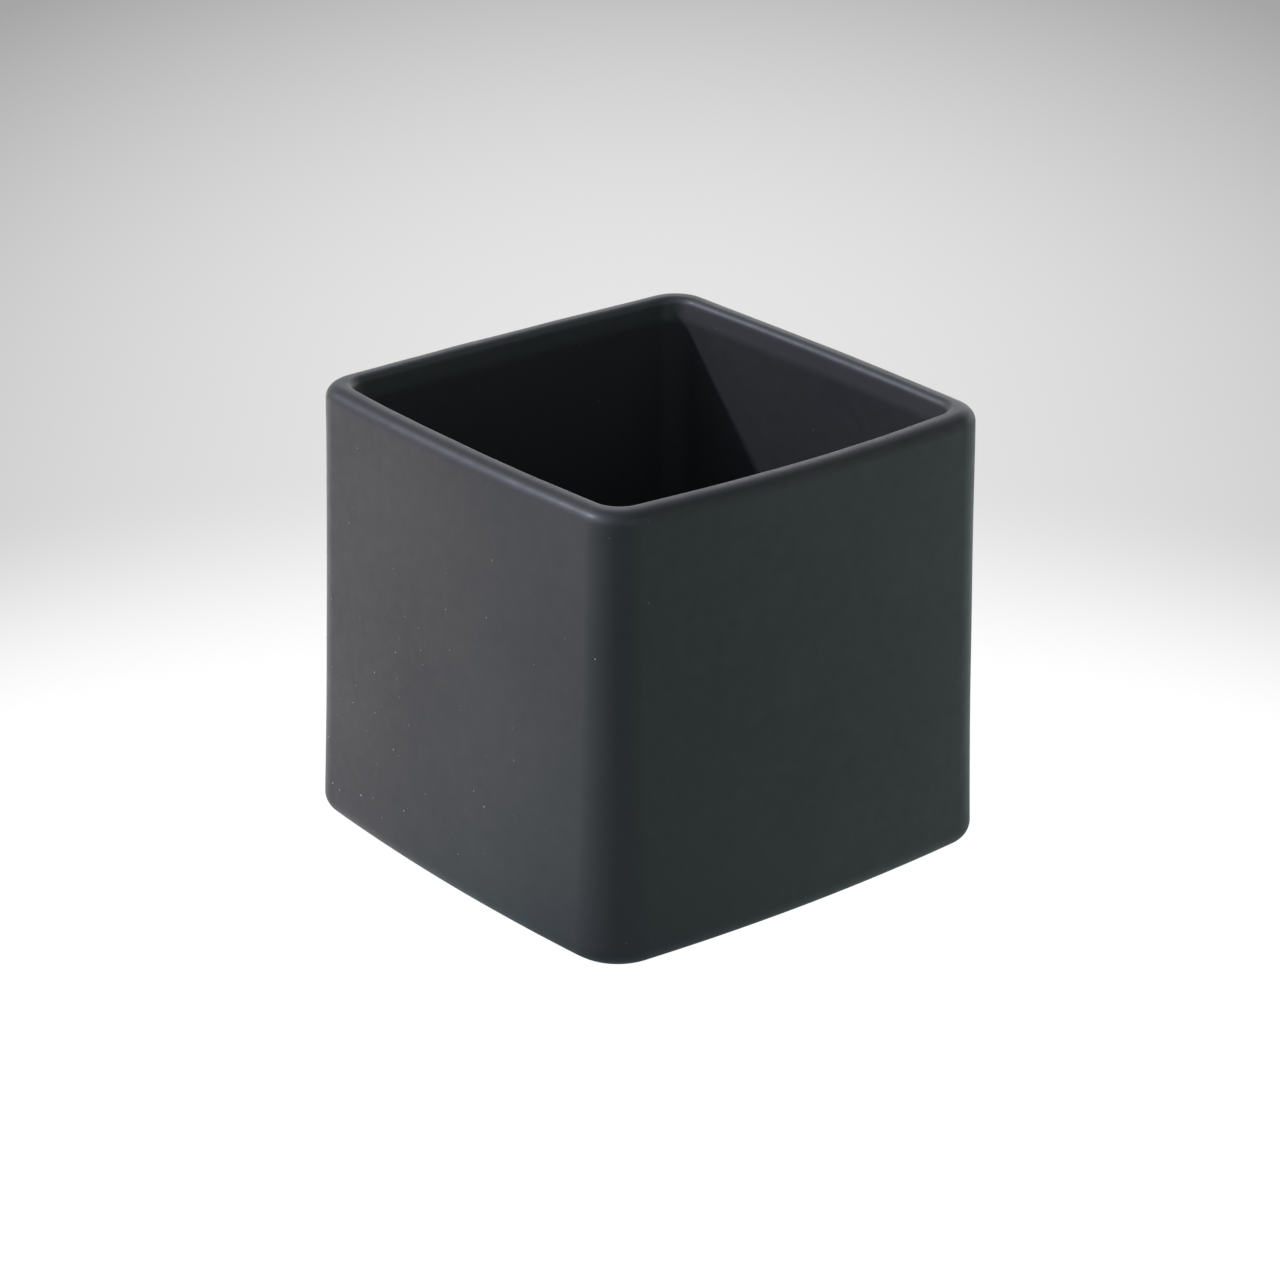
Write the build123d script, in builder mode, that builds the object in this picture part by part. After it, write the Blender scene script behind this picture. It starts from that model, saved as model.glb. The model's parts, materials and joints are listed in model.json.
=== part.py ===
"""Square slip-cast ceramic candle vessel, empty and without a lid, in millimetres.

The origin is the middle of the footprint on the table and +Z points up.
"""

import os

from build123d import *

os.makedirs("parts", exist_ok=True)

# ---- driving dimensions: overall form ----
HEIGHT = 72.4          # table to the crest of the rim
HALF_BOTTOM = 37.65    # centre to the chord of a side at the table
HALF_TOP = 36.6        # centre to the chord of a side at the rim
WAIST_PULL = 0.2       # how far mid height sits inside the straight taper
CORNER_R = 6.5         # upright corners, seen from above
FRONT_SLUMP = 2.8      # extra radius of the +X -Y corner at the table, gone at the rim
FOOT_EDGE_R = 3.5      # rounding between the sides and the underside

# rise of the +X, +Y, -X and -Y sides over their chords: no two are quite alike
BULGES_BOTTOM = (1.85, 2.4, 2.4, 1.7)
BULGES_TOP = (2.05, 0.55, 0.35, 1.3)

# ---- driving dimensions: rim and cavity ----
RIM_OUTER_R = 2.2      # soft outer shoulder of the rim
RIM_INNER_R = 1.0      # crisp inner arris of the rim
RIM_WALL = 3.6         # wall at the rim, outside face to inside face
TRIM_WALL = 4.3        # wall at the foot of the trimmed bevel
LOWER_WALL = 4.5       # wall just above the floor
TRIM_DEPTH = 3.6       # rim crest down to the foot of the trimmed bevel
TRIM_R = 1.2           # softening of that line
FLOOR_Z = 5.6          # top of the floor
FLOOR_R = 3.8          # inside fillet between floor and walls
INNER_CORNER_R = 4.0   # upright corners of the cavity

# ---- driving dimensions: glaze and base ----
GLAZE = 0.35           # thickness of every glaze coat
GLAZE_LINE = 0.4       # the outer coat stops this far above the table
COAT_LAP = 1.5         # the outer coat laps this far down inside the rim
MID_WALL = 2.0         # outside face to the middle of the clay wall
MID_CORNER_R = 4.5     # corners of the middle of the clay wall
RECESS_HALF = 28.0     # half width of the recess in the base
RECESS_BULGE = 1.4     # rise of a recess side over its chord
RECESS_CORNER_R = 6.0  # recess corners, seen from below
RECESS_DEPTH = 1.2     # depth of the recess before its glaze
RECESS_EDGE_R = 0.5    # softened inner edge of the foot ring
RECESS_MARGIN = 0.8    # dry margin around the glaze in the recess
RECESS_GLAZE_R = 0.2   # rounded edge of that glaze


def half_at(z):
    """Distance from the centre to the chord of a side at height z."""
    t = z / HEIGHT
    straight = HALF_BOTTOM + (HALF_TOP - HALF_BOTTOM) * t
    return straight - WAIST_PULL * (1 - (2 * t - 1) ** 2)


def bulges_at(z):
    """Rise of each side over its chord at height z."""
    return [low + (high - low) * z / HEIGHT for low, high in zip(BULGES_BOTTOM, BULGES_TOP)]


def front_radius(z, corner):
    """Radius of the +X -Y corner at height z, where the other corners have the given one."""
    return corner + FRONT_SLUMP * (1 - z / HEIGHT) ** 2


def pillow_square(z, half, bulges, corner, front_corner):
    """Sketch a square with bowed sides and rounded corners at height z."""
    right, back, left, front = (half + bulge for bulge in bulges)
    ends = [(half, -half), (half, half), (-half, half), (-half, -half)]
    mids = [(right, 0), (0, back), (-left, 0), (0, -front)]
    with BuildSketch(Plane.XY.offset(z)) as section:
        with BuildLine():
            for i in range(4):
                ThreePointArc(ends[i], mids[i], ends[(i + 1) % 4])
        make_face()
        corners = section.vertices().sort_by(Axis((0, 0, 0), (1, -1, 0)))
        fillet(corners[:3], corner)
        fillet(section.vertices().sort_by(Axis((0, 0, 0), (1, -1, 0)))[-1], front_corner)
    return section.sketch


def wall_section(z, depth, corner, front_corner):
    """Sketch the outside outline at height z, its sides moved inwards by depth."""
    return pillow_square(z, half_at(z) - depth, bulges_at(z), corner, front_corner)


def level_edges(part, z):
    """List the edges that lie level at height z."""
    return part.edges().filter_by_position(Axis.Z, z - 0.01, z + 0.01)


def outer_form(shrink):
    """Return the solid outside form, every face moved into the clay by shrink."""
    levels = (shrink, HEIGHT / 2, HEIGHT - shrink)
    corner = CORNER_R - shrink
    with BuildPart() as form:
        loft([wall_section(z, shrink, corner, front_radius(z, corner)) for z in levels])
        fillet(level_edges(form, shrink), FOOT_EDGE_R - shrink)
        fillet(level_edges(form, HEIGHT - shrink), RIM_OUTER_R - shrink)
    return form.part


def cavity_form(shrink):
    """Return the space inside the vessel, every face moved into the clay by shrink."""
    corner = INNER_CORNER_R + shrink
    floor_z = FLOOR_Z - shrink
    trim_z = HEIGHT - TRIM_DEPTH
    middle_z = (floor_z + trim_z) / 2
    middle_wall = (LOWER_WALL + TRIM_WALL) / 2
    lower = ((floor_z, LOWER_WALL), (middle_z, middle_wall), (trim_z, TRIM_WALL))
    upper = ((trim_z, TRIM_WALL), (HEIGHT, RIM_WALL))
    with BuildPart() as space:
        loft([wall_section(z, wall - shrink, corner, corner) for z, wall in lower])
        fillet(level_edges(space, floor_z), FLOOR_R + shrink)
        loft([wall_section(z, wall - shrink, corner, corner) for z, wall in upper])
        fillet(level_edges(space, trim_z), TRIM_R - shrink)
    return space.part


def vessel_form(shrink):
    """Return the whole open vessel, every face moved into the clay by shrink."""
    with BuildPart() as vessel:
        add(outer_form(shrink))
        add(cavity_form(shrink), mode=Mode.SUBTRACT)
        crest = vessel.faces().sort_by(Axis.Z)[-1]
        fillet(crest.inner_wires()[0].edges(), RIM_INNER_R - shrink)
    return vessel.part


def core_form(bottom, top):
    """Return everything inside the middle of the wall between two heights."""
    with BuildPart() as core:
        fronts = ((z, front_radius(z, MID_CORNER_R)) for z in (bottom, top))
        loft([wall_section(z, MID_WALL, MID_CORNER_R, front) for z, front in fronts])
    return core.part


def recess_form(inset, bottom, top):
    """Return the recess in the base between two heights, its sides moved in by inset."""
    corner = RECESS_CORNER_R - inset
    outline = pillow_square(bottom, RECESS_HALF - inset, [RECESS_BULGE] * 4, corner, corner)
    with BuildPart() as recess:
        extrude(outline, top - bottom)
    return recess.part


finished_form = vessel_form(0)

# ---- clay body: walls, floor and dry foot ring fired as one piece ----
with BuildPart() as ceramic_body:
    add(finished_form)
    split(bisect_by=Plane.XY.offset(GLAZE_LINE), keep=Keep.BOTTOM)
    add(vessel_form(GLAZE))
    add(recess_form(0, 0, RECESS_DEPTH), mode=Mode.SUBTRACT)
    ring_face = ceramic_body.faces().sort_by(Axis.Z)[0]
    fillet(ring_face.inner_wires()[0].edges(), RECESS_EDGE_R)
ceramic_body.part.label = "ceramic_body"

# ---- outer coat: dipped over the outside and the rim, wiped off the foot ----
with BuildPart() as outer_glaze:
    add(finished_form)
    split(bisect_by=Plane.XY.offset(GLAZE_LINE), keep=Keep.TOP)
    add(ceramic_body.part, mode=Mode.SUBTRACT)
    add(core_form(0, HEIGHT - COAT_LAP), mode=Mode.SUBTRACT)
outer_glaze.part.label = "outer_glaze"

# ---- inner coat: poured in to seal the floor and walls of the cavity ----
with BuildPart() as inner_glaze:
    add(finished_form)
    add(ceramic_body.part, mode=Mode.SUBTRACT)
    add(core_form(FLOOR_Z / 2, HEIGHT - COAT_LAP), mode=Mode.INTERSECT)
inner_glaze.part.label = "inner_glaze"

# ---- patch of glaze on the ceiling of the recess, clear of the foot ring ----
with BuildPart() as recess_glaze:
    add(recess_form(RECESS_MARGIN, RECESS_DEPTH - GLAZE, RECESS_DEPTH))
    patch_face = recess_glaze.faces().sort_by(Axis.Z)[0]
    fillet(patch_face.edges(), RECESS_GLAZE_R)
recess_glaze.part.label = "recess_glaze"

for name, part in (
    ("ceramic_body", ceramic_body.part),
    ("outer_glaze", outer_glaze.part),
    ("inner_glaze", inner_glaze.part),
    ("recess_glaze", recess_glaze.part),
):
    export_step(part, f"parts/{name}.step")
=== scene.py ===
"""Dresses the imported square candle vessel: fused glaze coats, dry clay foot, light and camera."""

import json
import logging
import math
from collections.abc import Sequence
from dataclasses import dataclass, field
from enum import Enum

import bpy
import numpy as np
from mathutils import Matrix, Vector

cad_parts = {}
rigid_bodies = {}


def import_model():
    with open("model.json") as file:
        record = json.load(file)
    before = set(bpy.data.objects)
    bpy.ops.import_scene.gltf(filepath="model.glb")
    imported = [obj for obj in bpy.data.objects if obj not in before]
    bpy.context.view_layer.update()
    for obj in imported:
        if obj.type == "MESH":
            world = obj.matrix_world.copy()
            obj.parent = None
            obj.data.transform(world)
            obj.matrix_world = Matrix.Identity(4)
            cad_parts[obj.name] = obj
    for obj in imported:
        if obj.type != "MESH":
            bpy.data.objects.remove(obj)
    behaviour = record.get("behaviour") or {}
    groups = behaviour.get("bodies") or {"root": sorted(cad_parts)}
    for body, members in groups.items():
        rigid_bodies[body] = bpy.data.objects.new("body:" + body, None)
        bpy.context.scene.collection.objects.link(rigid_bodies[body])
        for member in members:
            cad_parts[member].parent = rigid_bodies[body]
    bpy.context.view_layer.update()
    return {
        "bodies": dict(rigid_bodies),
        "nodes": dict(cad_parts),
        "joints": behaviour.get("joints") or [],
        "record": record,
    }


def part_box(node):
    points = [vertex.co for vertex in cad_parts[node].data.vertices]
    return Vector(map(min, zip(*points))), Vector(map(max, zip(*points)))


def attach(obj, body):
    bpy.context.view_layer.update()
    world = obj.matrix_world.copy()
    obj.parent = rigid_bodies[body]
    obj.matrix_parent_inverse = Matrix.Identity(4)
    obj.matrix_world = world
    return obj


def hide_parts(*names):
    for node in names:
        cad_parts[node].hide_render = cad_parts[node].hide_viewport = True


LOG = logging.getLogger("candle_vessel")
BODY = "root"
MM = 0.001


class Coat(Enum):
    """The glaze coats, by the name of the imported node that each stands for."""

    OUTER = "outer_glaze"
    LINER = "inner_glaze"
    RECESS = "recess_glaze"


# ---- Small helpers for node trees ----


def new_node(tree: bpy.types.NodeTree, kind: str, **settings: object) -> bpy.types.Node:
    """Add a node to a tree.

    Args:
        tree: The tree that gets the node.
        kind: Blender's identifier for the node's type.
        settings: Attributes of the node, or the values of its inputs by name.

    Returns:
        The new node.
    """
    node = tree.nodes.new(kind)
    for name, value in settings.items():
        if hasattr(node, name):
            setattr(node, name, value)
        else:
            node.inputs[name.replace("_", " ")].default_value = value
    return node


def math_node(tree: bpy.types.NodeTree, operation: str, *values: object) -> bpy.types.NodeSocket:
    """Add a Math node whose inputs are numbers or sockets.

    Args:
        tree: The tree that gets the node.
        operation: The Math node's operation.
        values: A number or an output socket for each input.

    Returns:
        The node's output socket.
    """
    node = tree.nodes.new("ShaderNodeMath")
    node.operation = operation
    for place, value in enumerate(values):
        if isinstance(value, bpy.types.NodeSocket):
            tree.links.new(value, node.inputs[place])
        else:
            node.inputs[place].default_value = value
    return node.outputs[0]


def square(tree: bpy.types.NodeTree, value: bpy.types.NodeSocket) -> bpy.types.NodeSocket:
    """Add a Math node that multiplies a value by itself."""
    return math_node(tree, "MULTIPLY", value, value)


def remap(
    tree: bpy.types.NodeTree,
    value: bpy.types.NodeSocket,
    source: tuple[float, float],
    target: tuple[float, float],
    smooth: bool = False,
) -> bpy.types.NodeSocket:
    """Map a value from one range to another, clamped.

    Args:
        tree: The tree that gets the node.
        value: The socket to read.
        source: The range that the value covers.
        target: The range to give out.
        smooth: Whether the change eases in and out.

    Returns:
        The mapped value's socket.
    """
    node = tree.nodes.new("ShaderNodeMapRange")
    node.interpolation_type = "SMOOTHSTEP" if smooth else "LINEAR"
    tree.links.new(value, node.inputs["Value"])
    node.inputs["From Min"].default_value = source[0]
    node.inputs["From Max"].default_value = source[1]
    node.inputs["To Min"].default_value = target[0]
    node.inputs["To Max"].default_value = target[1]
    return node.outputs["Result"]


def blend_colours(
    tree: bpy.types.NodeTree,
    factor: bpy.types.NodeSocket,
    first: object,
    second: object,
) -> bpy.types.NodeSocket:
    """Mix two colours by a factor.

    Args:
        tree: The tree that gets the node.
        factor: The socket that says how much of the second colour shows.
        first: A colour of three numbers, or a colour socket.
        second: A colour of three numbers, or a colour socket.

    Returns:
        The mixed colour's socket.
    """
    node = tree.nodes.new("ShaderNodeMix")
    node.data_type = "RGBA"
    tree.links.new(factor, node.inputs[0])
    for socket, colour in ((node.inputs[6], first), (node.inputs[7], second)):
        if isinstance(colour, bpy.types.NodeSocket):
            tree.links.new(colour, socket)
        else:
            socket.default_value = (*colour, 1.0)
    return node.outputs[2]


def noise_node(
    tree: bpy.types.NodeTree,
    vector: bpy.types.NodeSocket,
    scale: object,
    detail: float = 3.0,
    roughness: float = 0.5,
) -> bpy.types.NodeSocket:
    """Add a noise texture.

    Args:
        tree: The tree that gets the node.
        vector: The coordinates to read.
        scale: Cycles per metre, as a number or a socket.
        detail: Octaves of finer noise.
        roughness: How strong the finer octaves are.

    Returns:
        The noise's value socket, which runs from about 0.2 to 0.8.
    """
    node = new_node(tree, "ShaderNodeTexNoise", Detail=detail, Roughness=roughness)
    tree.links.new(vector, node.inputs["Vector"])
    if isinstance(scale, bpy.types.NodeSocket):
        tree.links.new(scale, node.inputs["Scale"])
    else:
        node.inputs["Scale"].default_value = scale
    return node.outputs[0]


def group_tree(
    name: str,
    kind: str,
    inputs: Sequence[tuple[str, str, object]],
    outputs: Sequence[tuple[str, str]],
) -> tuple[bpy.types.NodeTree, bpy.types.Node, bpy.types.Node]:
    """Start a node group with named sockets.

    Args:
        name: The group's name.
        kind: The tree's type.
        inputs: Name, socket type and starting value of each input.
        outputs: Name and socket type of each output.

    Returns:
        The tree with its input and output nodes.
    """
    tree = bpy.data.node_groups.new(name, kind)
    for label, socket_type, value in inputs:
        made = tree.interface.new_socket(label, in_out="INPUT", socket_type=socket_type)
        if value is not None:
            made.default_value = value
    for label, socket_type in outputs:
        tree.interface.new_socket(label, in_out="OUTPUT", socket_type=socket_type)
    return tree, tree.nodes.new("NodeGroupInput"), tree.nodes.new("NodeGroupOutput")


# ---- Shader groups shared by the finishes ----


def build_kiln_clouds() -> bpy.types.NodeTree:
    """Make the group for slow and fine changes of tone that a firing leaves in a glaze.

    Returns:
        A shader group that gives out a slow cloud, a fine mottle and a surface height.
    """
    tree, ins, outs = group_tree(
        "kiln_clouds",
        "ShaderNodeTree",
        [
            ("Vector", "NodeSocketVector", None),
            ("Cloud Scale", "NodeSocketFloat", 34.0),
            ("Mottle Scale", "NodeSocketFloat", 420.0),
            ("Grain Scale", "NodeSocketFloat", 2600.0),
            ("Grain Depth", "NodeSocketFloat", 0.35),
        ],
        [
            ("Cloud", "NodeSocketFloat"),
            ("Mottle", "NodeSocketFloat"),
            ("Height", "NodeSocketFloat"),
        ],
    )
    where = ins.outputs["Vector"]
    cloud = noise_node(tree, where, ins.outputs["Cloud Scale"], detail=2.0)
    mottle = noise_node(tree, where, ins.outputs["Mottle Scale"], detail=4.0, roughness=0.6)
    grain = noise_node(tree, where, ins.outputs["Grain Scale"], detail=2.0)
    deep = math_node(tree, "MULTIPLY", grain, ins.outputs["Grain Depth"])
    tree.links.new(remap(tree, cloud, (0.3, 0.7), (0.0, 1.0), smooth=True), outs.inputs["Cloud"])
    tree.links.new(remap(tree, mottle, (0.3, 0.7), (0.0, 1.0)), outs.inputs["Mottle"])
    tree.links.new(math_node(tree, "ADD", mottle, deep), outs.inputs["Height"])
    return tree


def build_pinholes() -> bpy.types.NodeTree:
    """Make the group for pinholes, the tiny craters that gas leaves in a matt glaze.

    Returns:
        A shader group that gives out a mask of the holes and their depth.
    """
    tree, ins, outs = group_tree(
        "pinholes",
        "ShaderNodeTree",
        [
            ("Vector", "NodeSocketVector", None),
            ("Cells", "NodeSocketFloat", 300.0),
            ("Share", "NodeSocketFloat", 0.3),
            ("Size", "NodeSocketFloat", 0.05),
        ],
        [("Mask", "NodeSocketFloat"), ("Depth", "NodeSocketFloat")],
    )
    cells = tree.nodes.new("ShaderNodeTexVoronoi")
    tree.links.new(ins.outputs["Vector"], cells.inputs["Vector"])
    tree.links.new(ins.outputs["Cells"], cells.inputs["Scale"])
    pick = tree.nodes.new("ShaderNodeSeparateColor")
    tree.links.new(cells.outputs["Color"], pick.inputs[0])
    chosen = math_node(tree, "LESS_THAN", pick.outputs[0], ins.outputs["Share"])
    size = math_node(tree, "MULTIPLY_ADD", pick.outputs[1], ins.outputs["Size"], 0.01)
    off = math_node(tree, "DIVIDE", cells.outputs["Distance"], size)
    near = math_node(tree, "SUBTRACT", 1.0, off)
    hole = math_node(tree, "MULTIPLY", math_node(tree, "MAXIMUM", near, 0.0), chosen)
    tree.links.new(remap(tree, hole, (0.0, 0.35), (0.0, 1.0), smooth=True), outs.inputs["Mask"])
    tree.links.new(math_node(tree, "MULTIPLY", hole, -1.0), outs.inputs["Depth"])
    return tree


@dataclass
class EffectLibrary:
    """The shader groups, each built once and placed in every finish that uses it."""

    clouds: bpy.types.NodeTree = field(default_factory=build_kiln_clouds)
    pinholes: bpy.types.NodeTree = field(default_factory=build_pinholes)

    @staticmethod
    def place(
        tree: bpy.types.NodeTree, group: bpy.types.NodeTree, **values: float
    ) -> bpy.types.Node:
        """Put a group in a material, reading the piece's own Object coordinates.

        Args:
            tree: The material's tree.
            group: The group to place.
            values: Values of the group's inputs, by name with _ for a space.

        Returns:
            The group node.
        """
        node = tree.nodes.new("ShaderNodeGroup")
        node.node_tree = group
        where = tree.nodes.new("ShaderNodeTexCoord")
        tree.links.new(where.outputs["Object"], node.inputs["Vector"])
        for name, value in values.items():
            node.inputs[name.replace("_", " ")].default_value = value
        return node


# ---- Finishes ----

RGB = tuple[float, float, float]


def blank_material(name: str) -> tuple[bpy.types.Material, bpy.types.Node]:
    """Start a material.

    Args:
        name: The material's name.

    Returns:
        The material and its Principled BSDF.
    """
    made = bpy.data.materials.new(name)
    made.use_nodes = True
    return made, made.node_tree.nodes["Principled BSDF"]


@dataclass(frozen=True)
class GlazeFinish:
    """A satin-matt charcoal stoneware glaze."""

    name: str
    tone: RGB = (0.0175, 0.0185, 0.0195)
    warm_tone: RGB = (0.0205, 0.0205, 0.0205)
    thin_tone: RGB = (0.036, 0.037, 0.038)
    hole_tone: RGB = (0.10, 0.095, 0.09)
    roughness: tuple[float, float] = (0.56, 0.66)
    coat_weight: float = 0.2
    coat_roughness: float = 0.34
    hole_share: float = 0.22
    bump: float = 0.12

    def material(self, effects: EffectLibrary) -> bpy.types.Material:
        """Build the glaze's material.

        Args:
            effects: The shared shader groups.

        Returns:
            The material.
        """
        made, shader = blank_material(self.name)
        tree = made.node_tree
        clouds = effects.place(tree, effects.clouds)
        holes = effects.place(tree, effects.pinholes, Share=self.hole_share)
        thin = new_node(tree, "ShaderNodeAttribute", attribute_name="glaze_thin")
        colour = blend_colours(tree, clouds.outputs["Cloud"], self.tone, self.warm_tone)
        colour = blend_colours(tree, thin.outputs["Fac"], colour, self.thin_tone)
        colour = blend_colours(tree, holes.outputs["Mask"], colour, self.hole_tone)
        tree.links.new(colour, shader.inputs["Base Color"])
        rough = remap(tree, clouds.outputs["Mottle"], (0.0, 1.0), self.roughness)
        tree.links.new(rough, shader.inputs["Roughness"])
        sheen_spread = (self.coat_weight * 0.8, self.coat_weight * 1.2)
        weight = remap(tree, clouds.outputs["Cloud"], (0.0, 1.0), sheen_spread)
        tree.links.new(weight, shader.inputs["Coat Weight"])
        shader.inputs["Coat Roughness"].default_value = self.coat_roughness
        height = math_node(tree, "ADD", clouds.outputs["Height"], holes.outputs["Depth"])
        bump = new_node(tree, "ShaderNodeBump", Strength=self.bump, Distance=0.0001)
        tree.links.new(height, bump.inputs["Height"])
        tree.links.new(bump.outputs["Normal"], shader.inputs["Normal"])
        return made


@dataclass(frozen=True)
class PipGlintFinish:
    """A glossy pip where the glaze has run together over a grain, coloured far paler than the glaze
    as a painted glint of the key light.
    """

    name: str = "glaze_pip"
    # Painted glint: both tones are far paler than the glaze, so each pip shines as if it caught the
    # key light.
    tone: RGB = (0.16, 0.16, 0.16)
    painted_glint_tone: RGB = (0.55, 0.54, 0.53)
    roughness: tuple[float, float] = (0.2, 0.34)

    def material(self, effects: EffectLibrary) -> bpy.types.Material:
        """Build the pip's material.

        Args:
            effects: The shared shader groups.

        Returns:
            The material.
        """
        made, shader = blank_material(self.name)
        tree = made.node_tree
        clouds = effects.place(tree, effects.clouds, Cloud_Scale=400.0)
        # Painted glint: these pale colours stand in for the key light's catch on each pip.
        colour = blend_colours(tree, clouds.outputs["Cloud"], self.tone, self.painted_glint_tone)
        tree.links.new(colour, shader.inputs["Base Color"])
        rough = remap(tree, clouds.outputs["Mottle"], (0.0, 1.0), self.roughness)
        tree.links.new(rough, shader.inputs["Roughness"])
        return made


@dataclass(frozen=True)
class ClayFinish:
    """Bare fired clay, dry and faintly sandy."""

    name: str = "dry_clay"
    tone: RGB = (0.30, 0.255, 0.205)
    dark_tone: RGB = (0.215, 0.18, 0.145)
    grog_tone: RGB = (0.07, 0.055, 0.045)
    roughness: tuple[float, float] = (0.82, 0.95)
    grog_share: float = 0.5
    bump: float = 0.5

    def material(self, effects: EffectLibrary) -> bpy.types.Material:
        """Build the clay's material.

        Args:
            effects: The shared shader groups.

        Returns:
            The material.
        """
        made, shader = blank_material(self.name)
        tree = made.node_tree
        clouds = effects.place(tree, effects.clouds, Cloud_Scale=60.0, Grain_Depth=1.1)
        grog = effects.place(
            tree, effects.pinholes, Cells=900.0, Share=self.grog_share, Size=0.3
        )
        colour = blend_colours(tree, clouds.outputs["Cloud"], self.tone, self.dark_tone)
        colour = blend_colours(tree, grog.outputs["Mask"], colour, self.grog_tone)
        tree.links.new(colour, shader.inputs["Base Color"])
        rough = remap(tree, clouds.outputs["Mottle"], (0.0, 1.0), self.roughness)
        tree.links.new(rough, shader.inputs["Roughness"])
        height = math_node(tree, "ADD", clouds.outputs["Height"], grog.outputs["Depth"])
        bump = new_node(tree, "ShaderNodeBump", Strength=self.bump, Distance=0.0001)
        tree.links.new(height, bump.inputs["Height"])
        tree.links.new(bump.outputs["Normal"], shader.inputs["Normal"])
        return made


# ---- The vessel's form ----


@dataclass(frozen=True)
class Ring:
    """One level outline of the skin: its height, its inset from the sides, its corners."""

    z: float
    inset: float
    corner: float
    outside: bool = False
    shrink: float = 1.0
    thin: float = 0.0


Sides = tuple[float, float, float, float]
Circle = tuple[np.ndarray, float]


def bearing(heading: np.ndarray) -> float:
    """Give a plan direction's angle from +X."""
    return math.atan2(heading[1], heading[0])


def arc(centre: np.ndarray, radius: float, start: float, end: float, count: int) -> np.ndarray:
    """Lay out points along an arc in plan, its far end left out.

    Args:
        centre: The arc's centre.
        radius: Its radius.
        start: Angle of the first point.
        end: Angle where the arc ends.
        count: How many points to lay out.

    Returns:
        An array of points, two numbers each.
    """
    angles = np.linspace(start, end, count, endpoint=False)
    return centre + radius * np.column_stack([np.cos(angles), np.sin(angles)])


@dataclass(frozen=True)
class VesselForm:
    """The curves in plan and in section that the glaze follows, in metres."""

    height: float
    half_bottom: float = 37.65 * MM
    half_top: float = 36.6 * MM
    waist_pull: float = 0.2 * MM
    rises_bottom: Sides = (1.85 * MM, 2.4 * MM, 2.4 * MM, 1.7 * MM)
    rises_top: Sides = (2.05 * MM, 0.55 * MM, 0.35 * MM, 1.3 * MM)
    corner_radius: float = 6.5 * MM
    front_slump: float = 2.8 * MM
    side_points: int = 60
    corner_points: int = 22

    def half_at(self, z: float) -> float:
        """Give the distance from the centre to the chord of a side at height z."""
        t = z / self.height
        straight = self.half_bottom + (self.half_top - self.half_bottom) * t
        return straight - self.waist_pull * (1.0 - (2.0 * t - 1.0) ** 2)

    def side_circles(self, half: float, z: float) -> list[Circle]:
        """Lay out the circle that each side follows at one height.

        Args:
            half: Distance from the centre to the chord of each side.
            z: The height.

        Returns:
            The centre and radius for the +X, +Y, -X and -Y sides.
        """
        circles = []
        for side, (low, high) in enumerate(zip(self.rises_bottom, self.rises_top)):
            rise = low + (high - low) * z / self.height
            bow = (half * half + rise * rise) / (2.0 * rise)
            angle = side * math.pi / 2.0
            heading = np.array([math.cos(angle), math.sin(angle)])
            circles.append((heading * (half + rise - bow), bow))
        return circles

    @staticmethod
    def corner_centre(first: Circle, second: Circle, radius: float) -> np.ndarray:
        """Find the centre of the corner arc that touches two sides from within.

        Args:
            first: The side before the corner.
            second: The side after it.
            radius: The corner's radius.

        Returns:
            The centre in plan.
        """
        gap = second[0] - first[0]
        span = np.linalg.norm(gap)
        reach, other = first[1] - radius, second[1] - radius
        along = (reach**2 - other**2 + span**2) / (2.0 * span)
        unit = gap / span
        off = np.array([-unit[1], unit[0]]) * math.sqrt(reach**2 - along**2)
        return first[0] + unit * along + off

    def outline(self, ring: Ring) -> np.ndarray:
        """Lay out one ring of points, running anticlockwise from the +X side.

        Args:
            ring: The level outline to follow.

        Returns:
            An array of points, three numbers each.
        """
        sides = self.side_circles(self.half_at(ring.z) - ring.inset, ring.z)
        slump = self.front_slump * (1.0 - ring.z / self.height) ** 2 if ring.outside else 0.0
        radii = [ring.corner, ring.corner, ring.corner, ring.corner + slump]
        centres = [
            self.corner_centre(sides[k], sides[(k + 1) % 4], radii[k]) for k in range(4)
        ]
        around = []
        for k, (middle, bow) in enumerate(sides):
            start = bearing(centres[k - 1] - middle)
            end = start + (bearing(centres[k] - middle) - start) % math.tau
            following = bearing(centres[k] - sides[(k + 1) % 4][0])
            last = end + (following - end) % math.tau
            around.append(arc(middle, bow, start, end, self.side_points))
            around.append(arc(centres[k], radii[k], end, last, self.corner_points))
        flat = np.concatenate(around) * ring.shrink
        return np.column_stack([flat, np.full(len(flat), ring.z)])


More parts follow.
